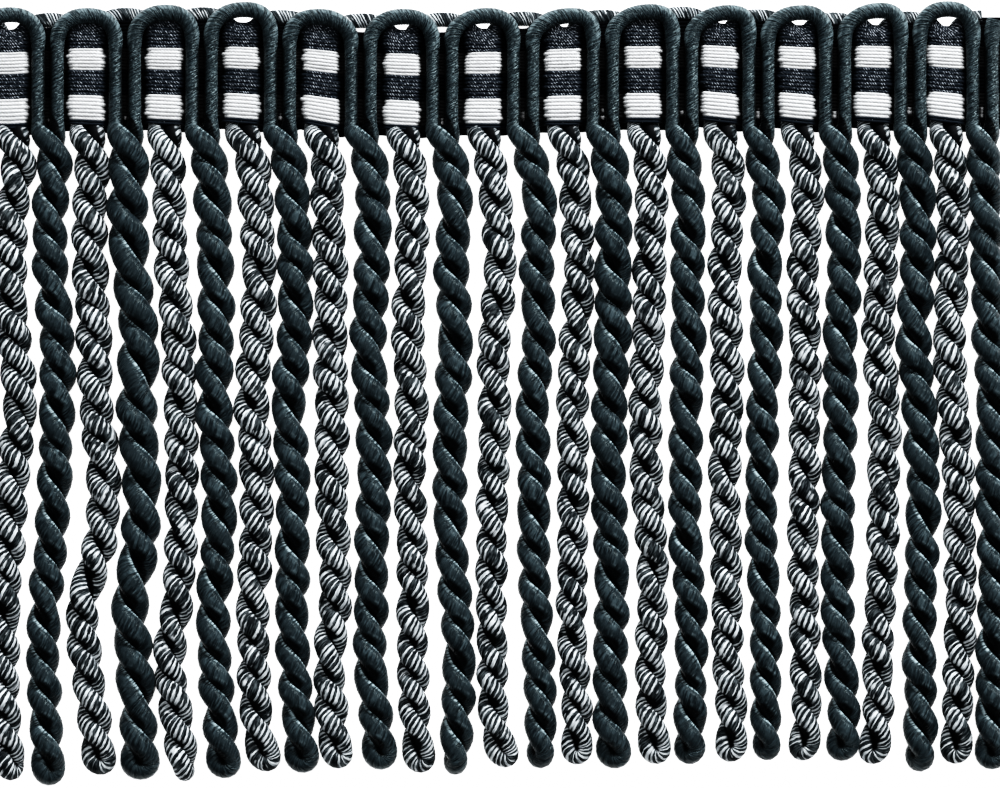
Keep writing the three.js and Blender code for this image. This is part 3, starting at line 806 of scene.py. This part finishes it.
class Finish:
    """One material's shader nodes, with what each point remembers at hand."""

    def __init__(self, name):
        self.material = bpy.data.materials.new(name)
        self.material.use_nodes = True
        self.nodes = self.material.node_tree.nodes
        self.links = self.material.node_tree.links
        self.shader = self.nodes["Principled BSDF"]
        self.straight = self.memory("straight")["Vector"]
        self.along, self.out, self.side = self.add("ShaderNodeSeparateXYZ", self.straight).outputs
        self.heading = self.memory("heading")["Fac"]
        self.groove = self.memory("groove")["Fac"]
        self.lit = self.memory("lit")["Fac"]

    def memory(self, label):
        return self.add("ShaderNodeAttribute", attribute_name=label).outputs

    def add(self, kind, *inputs, **settings):
        node = self.nodes.new(kind)
        for key, value in settings.items():
            setattr(node, key, value)
        for socket, value in zip(node.inputs, inputs):
            self.set(socket, value)
        return node

    def set(self, socket, value):
        if isinstance(value, bpy.types.NodeSocket):
            self.links.new(value, socket)
        elif value is not None:
            socket.default_value = value

    def fill(self, node, **inputs):
        for label, value in inputs.items():
            self.set(node.inputs[label], value)
        return node

    def math(self, operation, *inputs):
        return self.add("ShaderNodeMath", *inputs, operation=operation).outputs[0]

    def between(self, value, low, high):
        """Nothing below low, one above high and a soft climb between them."""
        return self.add("ShaderNodeMapRange", value, low, high, interpolation_type="SMOOTHSTEP").outputs[0]

    def swing(self, noise, size):
        """A noise moved so that it swings to either side of nothing."""
        return self.math("MULTIPLY", self.math("SUBTRACT", noise, 0.5), size)

    def wave(self, place, length):
        return self.math("SINE", self.math("MULTIPLY", place, 2 * math.pi / length))

    def noise(self, scale, detail=2.0, stretch=None, shift=0.0):
        where = self.straight
        if stretch or shift:
            place = (shift, shift, shift)
            where = self.add("ShaderNodeMapping", where, place, None, stretch or (1, 1, 1)).outputs[0]
        return self.noise_at(where, scale, detail)

    def noise_at(self, where, scale, detail):
        node = self.add("ShaderNodeTexNoise")
        return self.fill(node, Vector=where, Scale=scale, Detail=detail).outputs["Fac"]

    def mix(self, amount, first, second):
        node = self.add("ShaderNodeMix", data_type="RGBA")
        self.set(node.inputs["Factor"], amount)
        self.set(node.inputs[6], first)
        self.set(node.inputs[7], second)
        return node.outputs[2]

    def bump(self, height, strength, distance):
        node = self.fill(self.add("ShaderNodeBump"), Strength=strength, Distance=distance, Height=height)
        self.fill(self.shader, Normal=node.outputs[0])

    def surface(self, colour, plain):
        """Joins the colour to the shader and sets its plain values."""
        self.fill(self.shader, **{"Base Color": colour}, **plain)


def dress(pieces, material):
    for piece in pieces:
        piece.data.materials.append(material)


print("finishes are measured in millimetres along the cord")

# %% [markdown]
# ## Wraps and shade in a cord's finish
# Wrapping yarn lies at a slant, so its pattern moves on with the angle round the cord.
# Two more helpers read the shade: one paints the shade inside a groove, and the other paints a highlight on
# the rim beside it.
# Only the two gimps need these, so they get a finish of their own that builds on the plain one.

# %% Cord helpers
SHADE_SOFT = 0.6
SHADE_CRISP = 0.3
RIM_REACH = 0.8
# Groove values that mark the arches, and a faint painted highlight on their outer side.
ARCH_GROOVES = (-2.6, -1.0)
ARCH_OUTSIDE = (-1.1, -0.1)
ARCH_RIM = 0.25
ARCH_RIM_FALL = 0.45


class CordFinish(Finish):
    """A finish for a wrapped cord, which knows its slant, its painted shade and its painted rim highlight."""

    def wind(self, slant, radius):
        """Slants the wraps: the place along the cord moves on with the angle round it."""
        turn = self.math("ARCTAN2", self.side, self.out)
        self.along = self.math("MULTIPLY_ADD", turn, -slant * radius, self.along)
        self.straight = self.add("ShaderNodeCombineXYZ", self.along, self.out, self.side).outputs[0]

    def in_painted_shade(self):
        """Where shade is painted: one in the shade and nothing outside it, with a crisper edge on the lit
        flank.
        """
        softness = self.math("MULTIPLY_ADD", self.lit, SHADE_CRISP - SHADE_SOFT, SHADE_SOFT)
        low = self.math("SUBTRACT", self.groove, softness)
        return self.math("SUBTRACT", 1.0, self.between(self.out, low, self.groove))

    def painted_rim_light(self):
        """The painted highlight: along the lit flank of a ply, and faintly round the outside of the arches.
        """
        far = self.math("ADD", self.groove, RIM_REACH)
        beside = self.math("SUBTRACT", 1.0, self.between(self.out, self.groove, far))
        arch = self.math("SUBTRACT", 1.0, self.between(self.groove, *ARCH_GROOVES))
        outer = self.math("MULTIPLY_ADD", self.between(self.out, *ARCH_OUTSIDE), -ARCH_RIM_FALL, ARCH_RIM)
        on_arch = self.math("MAXIMUM", self.math("MULTIPLY", arch, outer), 0.0)
        return self.math("MULTIPLY_ADD", beside, self.lit, on_arch)


print("the rubbed rim is", RIM_REACH, "mm wide")

# %% [markdown]
# ## Black gimp
# The black cord is wrapped in a fine yarn with a slate sheen, which shows as thin strands across each ply.
# Noise stretched along the strands gives their light and dark, and drives the bump as well.
# The lit edge of a ply gets a painted highlight, a pale broken rim, and painted shade makes the groove beside
# it nearly black.
# On the heading handling brushes the cord up into pale flecks, and painted light makes them brightest on its
# right flanks.

# %% Black gimp finish
PAINTED_SHADE_BLACK = (0.0006, 0.0011, 0.0019, 1)
STRAND_DARK = (0.0055, 0.0092, 0.0118, 1)
STRAND_LIGHT = (0.049, 0.069, 0.077, 1)
PATCH_SLATE = (0.017, 0.025, 0.029, 1)
FLECK_PALE = (0.22, 0.275, 0.285, 1)
RIM_HIGHLIGHT_DARK = (0.042, 0.058, 0.063, 1)
RIM_HIGHLIGHT_PALE = (0.39, 0.495, 0.525, 1)
WRAP_SLANT = 0.33


def black_gimp_finish():
    finish = CordFinish("black_gimp")
    finish.wind(WRAP_SLANT, PLY_HALF)
    strands = finish.noise(1.0, 2.0, stretch=(3.4, 0.35, 0.35))
    patches = finish.noise(0.5, 2.0, shift=5.0)
    flecks = finish.noise(1.0, 3.0, stretch=(4.0, 1.6, 1.6), shift=4.0)
    dark = finish.mix(finish.between(strands, 0.38, 0.66), STRAND_DARK, STRAND_LIGHT)
    deep = finish.mix(finish.between(patches, 0.3, 0.7), PATCH_SLATE, dark)
    # Painted light: the flecks are raised fibre, painted brighter where the cord faces right, as if lit from
    # there.
    normal = finish.add("ShaderNodeNewGeometry").outputs["Normal"]
    to_right = finish.add("ShaderNodeSeparateXYZ", normal).outputs[0]
    lit_from_right = finish.math("MULTIPLY_ADD", finish.between(to_right, -0.55, 0.25), 0.75, 0.2)
    on_legs = finish.math("MULTIPLY_ADD", finish.between(finish.groove, *ARCH_GROOVES), 0.6, 0.4)
    handled_and_lit = finish.math("MULTIPLY", finish.math("MULTIPLY", finish.heading, lit_from_right), on_legs)
    pale = finish.math("MULTIPLY", finish.between(flecks, 0.5, 0.72), handled_and_lit)
    worn_and_lit = finish.mix(pale, deep, FLECK_PALE)
    # Painted highlight: a pale broken rim along the lit flank of each ply.
    rim = finish.mix(finish.between(strands, 0.42, 0.6), RIM_HIGHLIGHT_DARK, RIM_HIGHLIGHT_PALE)
    highlighted = finish.mix(finish.painted_rim_light(), worn_and_lit, rim)
    plain = {"Roughness": 0.34, "Specular IOR Level": 0.14, "Specular Tint": (0.86, 1.0, 0.97, 1)}
    plain |= {"Sheen Weight": 0.03, "Sheen Roughness": 0.4, "Sheen Tint": (0.62, 0.75, 0.74, 1)}
    # Painted shade: the groove beside each ply is made nearly black.
    finish.surface(finish.mix(finish.in_painted_shade(), highlighted, PAINTED_SHADE_BLACK), plain)
    finish.bump(strands, 1.0, 0.0005)
    return finish.material


dress(black_pieces, black_gimp_finish())
print("black gimp finish on", len(black_pieces), "lengths")

# %% [markdown]
# ## Mixed gimp
# A black and a white yarn are wrapped together, so the cord has cross stripes about 0.7 mm apart.
# The hand of the wrapper shows: the white turns spread in one place, and black ones close up in another.
# A sine along the cord makes the turns, and strong noise makes each stripe wide or narrow.
# The place along the cord is first cut into strands, so every stripe ends at the edge of one.
# On the heading the cord is drawn tighter and its stripes are finer.

# %% Mixed gimp finish
STRAND = 0.14
STRIPE = 0.74
STRIPE_SLANT = 0.29
FINE_STRIPE = 0.75
FINE_STRAND = 0.7
FINE_DARKER = 0.4
UNEVEN_SCALE = 1.2
UNEVEN_MIDDLE = 0.447
UNEVEN_SIZE = 9.0
WHITE_FIBRE = (0.685, 0.72, 0.735, 1)
GREY_FIBRE = (0.352, 0.38, 0.398, 1)
BLACK_FIBRE = (0.0025, 0.005, 0.0068, 1)
WORN_FIBRE = (0.085, 0.1, 0.105, 1)


def cross_stripes(finish, along, stripe, strand, group):
    """How dark each strand of the wrapping is: regular turns, made uneven by noise and by the group."""
    place = finish.math("MULTIPLY", finish.math("FLOOR", finish.math("DIVIDE", along, strand)), strand)
    where = finish.add("ShaderNodeCombineXYZ", place).outputs[0]
    uneven = finish.math("SUBTRACT", finish.noise_at(where, UNEVEN_SCALE / stripe, 3.0), UNEVEN_MIDDLE)
    shade = finish.math("MULTIPLY_ADD", uneven, UNEVEN_SIZE, finish.wave(place, stripe))
    return finish.between(finish.math("ADD", shade, group), -0.3, 0.2)


def mixed_gimp_finish():
    finish = CordFinish("mixed_gimp")
    finish.wind(STRIPE_SLANT, PLY_HALF)
    along = finish.math("ADD", finish.along, finish.swing(finish.noise(0.9, 1.0, shift=9.0), 0.25))
    group = finish.swing(finish.noise(0.45, 1.0, shift=2.0), 2.6)
    darker = finish.math("ADD", group, FINE_DARKER)
    wide = cross_stripes(finish, along, STRIPE, STRAND, group)
    fine = cross_stripes(finish, along, STRIPE * FINE_STRIPE, STRAND * FINE_STRAND, darker)
    dark_turn = finish.math("MULTIPLY_ADD", finish.math("SUBTRACT", fine, wide), finish.heading, wide)
    fibres = finish.noise(1.0, 2.0, stretch=(4.5, 0.5, 0.5))
    white = finish.mix(finish.between(fibres, 0.4, 0.66), WHITE_FIBRE, GREY_FIBRE)
    black = finish.mix(finish.between(fibres, 0.4, 0.8), BLACK_FIBRE, WORN_FIBRE)
    striped = finish.mix(dark_turn, white, black)
    plain = {"Roughness": 0.6, "Specular IOR Level": 0.08}
    # Painted shade: the groove beside each ply is made nearly black.
    finish.surface(finish.mix(finish.in_painted_shade(), striped, PAINTED_SHADE_BLACK), plain)
    finish.bump(fibres, 0.6, 0.0002)
    return finish.material


dress(mixed_pieces, mixed_gimp_finish())
print("mixed gimp finish on", len(mixed_pieces), "lengths")

# %% [markdown]
# ## Warp yarns
# The white yarn is a small rope: painted shade marks slanted seams round it, and grey lines of painted shade
# part it from the next yarn.
# The black yarn is dull, but where it floats over a block its turns carry rows of small painted glints.
# Both get painted shade from the groove where they dive under a black leg, which makes them black there.

# %% Warp finishes
WHITE_TURN = 0.66
WHITE_SLANT = 1.3
WHITE_YARN = (0.7, 0.7, 0.7, 1)
WHITE_FUZZ = (0.56, 0.56, 0.56, 1)
WHITE_SEAM_SHADE = (0.4, 0.4, 0.4, 1)
WHITE_VALLEY_SHADE = (0.26, 0.26, 0.26, 1)
WHITE_SHADE = (0.006, 0.006, 0.006, 1)
GLINT_STEP = 0.52
GLINT_SLANT = 0.8
BLACK_YARN = (0.0034, 0.005, 0.0075, 1)
BLACK_FUZZ = (0.018, 0.0235, 0.03, 1)
GLINT_PALE = (0.45, 0.48, 0.52, 1)


def white_warp_finish():
    finish = Finish("white_warp")
    twist = finish.noise(1.0, 2.0, stretch=(1.6, 4.0, 4.0))
    dashes = finish.between(finish.noise(1.0, 1.0, stretch=(0.5, 0.2, 0.2), shift=6.0), 0.35, 0.6)
    # Painted shade: broken grey lines in the valley beside each yarn.
    valley = finish.math("SUBTRACT", 1.0, finish.between(finish.out, 0.2, 0.31))
    line = finish.math("MULTIPLY", finish.math("MULTIPLY", valley, dashes), 0.5)
    slanted = finish.math("MULTIPLY_ADD", finish.side, -WHITE_SLANT, finish.along)
    # Painted shade in the slanted seams between the plies of the yarn.
    seams = finish.math("MULTIPLY", finish.between(finish.wave(slanted, WHITE_TURN), 0.2, 0.95), 0.5)
    yarn = finish.mix(finish.between(twist, 0.4, 0.75), WHITE_YARN, WHITE_FUZZ)
    seam_shaded = finish.mix(seams, yarn, WHITE_SEAM_SHADE)
    valley_shaded = finish.mix(line, seam_shaded, WHITE_VALLEY_SHADE)
    # Painted shade where the yarn dives under a black leg.
    shaded = finish.mix(finish.between(finish.groove, 0.1, 0.7), valley_shaded, WHITE_SHADE)
    finish.surface(shaded, {"Roughness": 0.7, "Specular IOR Level": 0.1})
    finish.bump(twist, 0.4, 0.0001)
    return finish.material


def black_warp_finish():
    finish = Finish("black_warp")
    twist = finish.noise(1.0, 2.0, stretch=(2.2, 4.0, 4.0))
    loose = finish.math("MULTIPLY", finish.noise(0.8, 1.0, shift=3.0), 6.0)
    # Painted glints: pale spots in rows on the top of each yarn where it floats over a block.
    slanted = finish.math("MULTIPLY_ADD", finish.side, -GLINT_SLANT, finish.along)
    turns = finish.math("SINE", finish.math("MULTIPLY_ADD", slanted, 2 * math.pi / GLINT_STEP, loose))
    bright = finish.between(finish.noise(1.9, 2.0, shift=13.0), 0.4, 0.66)
    glint_spots = finish.math("MULTIPLY", finish.between(turns, 0.3, 0.9), bright)
    upper = finish.between(finish.out, 0.24, 0.38)
    raised = finish.math("MULTIPLY", finish.between(finish.heading, 0.3, 0.9), upper)
    dark = finish.mix(twist, BLACK_YARN, BLACK_FUZZ)
    # Painted shade where the yarn dives under a black leg.
    shaded = finish.mix(finish.between(finish.groove, 0.1, 0.8), dark, PAINTED_SHADE_BLACK)
    glinting = finish.mix(finish.math("MULTIPLY", glint_spots, raised), shaded, GLINT_PALE)
    finish.surface(glinting, {"Roughness": 0.6, "Specular IOR Level": 0.03})
    finish.bump(twist, 0.5, 0.00015)
    return finish.material


warp_finishes = {"white_warp": white_warp_finish(), "black_warp": black_warp_finish()}
for piece, band in zip(warp_pieces, BANDS):
    dress([piece], warp_finishes[band["slot"]])
dress(edge_pieces, warp_finishes["black_warp"])
print("warp finishes:", sorted(warp_finishes))

# %% [markdown]
# ## The table and the light
# The trim lies on a plain white table. The main light is a long soft box beyond the arches.
# It lights the upper edge of every lobe and shines along the gaps between the bullions.
# The table also glows a little by itself, because the cords would grey it with their shadows.
# A wide, weaker light overhead and a pale surround fill the rest, all in the same slightly cool white.

# %% Table and lights
TABLE_SIZE = 3.0
TABLE_WHITE = (0.9, 0.9, 0.9, 1)
TABLE_GLOW = 0.85
COOL_WHITE = (0.975, 1.0, 1.025)
SURROUND = 0.12


def white_table():
    mesh = bpy.data.meshes.new("table")
    half = TABLE_SIZE / 2
    corners = [(-half, -half, 0), (half, -half, 0), (half, half, 0), (-half, half, 0)]
    mesh.from_pydata(corners, [], [(0, 1, 2, 3)])
    table = new_object("table", mesh)
    material = bpy.data.materials.new("table_white")
    material.use_nodes = True
    shader = material.node_tree.nodes["Principled BSDF"]
    plain = {"Base Color": TABLE_WHITE, "Roughness": 0.9}
    plain |= {"Emission Color": (1, 1, 1, 1), "Emission Strength": TABLE_GLOW}
    for label, value in plain.items():
        shader.inputs[label].default_value = value
    mesh.materials.append(material)
    table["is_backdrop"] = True


def soft_box(name, place, aim, size, power):
    lamp = bpy.data.lights.new(name, "AREA")
    lamp.shape = "RECTANGLE"
    lamp.size, lamp.size_y = size
    lamp.energy = power
    lamp.color = COOL_WHITE
    box = new_object(name, lamp)
    box.location = place
    gaze = np.array(aim) - np.array(place)
    level = math.hypot(gaze[0], gaze[1])
    box.rotation_euler = (math.atan2(level, -gaze[2]), 0, math.atan2(gaze[1], gaze[0]) - math.pi / 2)
    return box


white_table()
key = soft_box("key_light", (0.4, 0.95, 0.53), (0, 0, 0), (0.8, 0.1), 20)
overhead = soft_box("overhead_light", (0, 0.3, 1.6), (0, 0, 0), (1.2, 1.2), 8)
world = bpy.data.worlds.new("surround")
bpy.context.scene.world = world
world.use_nodes = True
world.node_tree.nodes["Background"].inputs["Color"].default_value = (*COOL_WHITE, 1)
world.node_tree.nodes["Background"].inputs["Strength"].default_value = SURROUND
print("lights:", key.name, overhead.name)

# %% [markdown]
# ## The camera and the tone
# The trim is seen straight from above. A long lens from about a metre keeps the cords free of slant.
# The frame is 1000 pixels wide and its scale follows from the trim's own height in the picture.
# A gentle S shaped curve deepens the blacks and lifts the middle tones, as in a print.

# %% Camera and tone
PHOTO_WIDTH = 1000
MM_PER_PIXEL = 0.1943
LENS = 200.0
SENSOR = 36.0
AIM = (2.98 * MM, -0.06 * MM, 3.0 * MM)
FAR = 20
TONE_CURVE = [(0.02, 0.01), (0.06, 0.05), (0.15, 0.19), (0.3, 0.44), (0.5, 0.68), (0.72, 0.86), (0.9, 0.97)]
camera_data = bpy.data.cameras.new("camera")
camera_data.lens = LENS
camera_data.sensor_width = SENSOR
camera_data.clip_end = FAR
camera = new_object("camera", camera_data)
distance = PHOTO_WIDTH * MM_PER_PIXEL * MM * LENS / SENSOR
camera.location = (AIM[0], AIM[1], AIM[2] + distance)
bpy.context.scene.camera = camera
tone = bpy.context.scene.view_settings
tone.view_transform = "Standard"
tone.look = "None"
tone.use_curve_mapping = True
for point in TONE_CURVE:
    tone.curve_mapping.curves[3].points.new(*point)
tone.curve_mapping.extend = "HORIZONTAL"
tone.curve_mapping.update()
print("camera", round(distance, 3), "m above the trim")
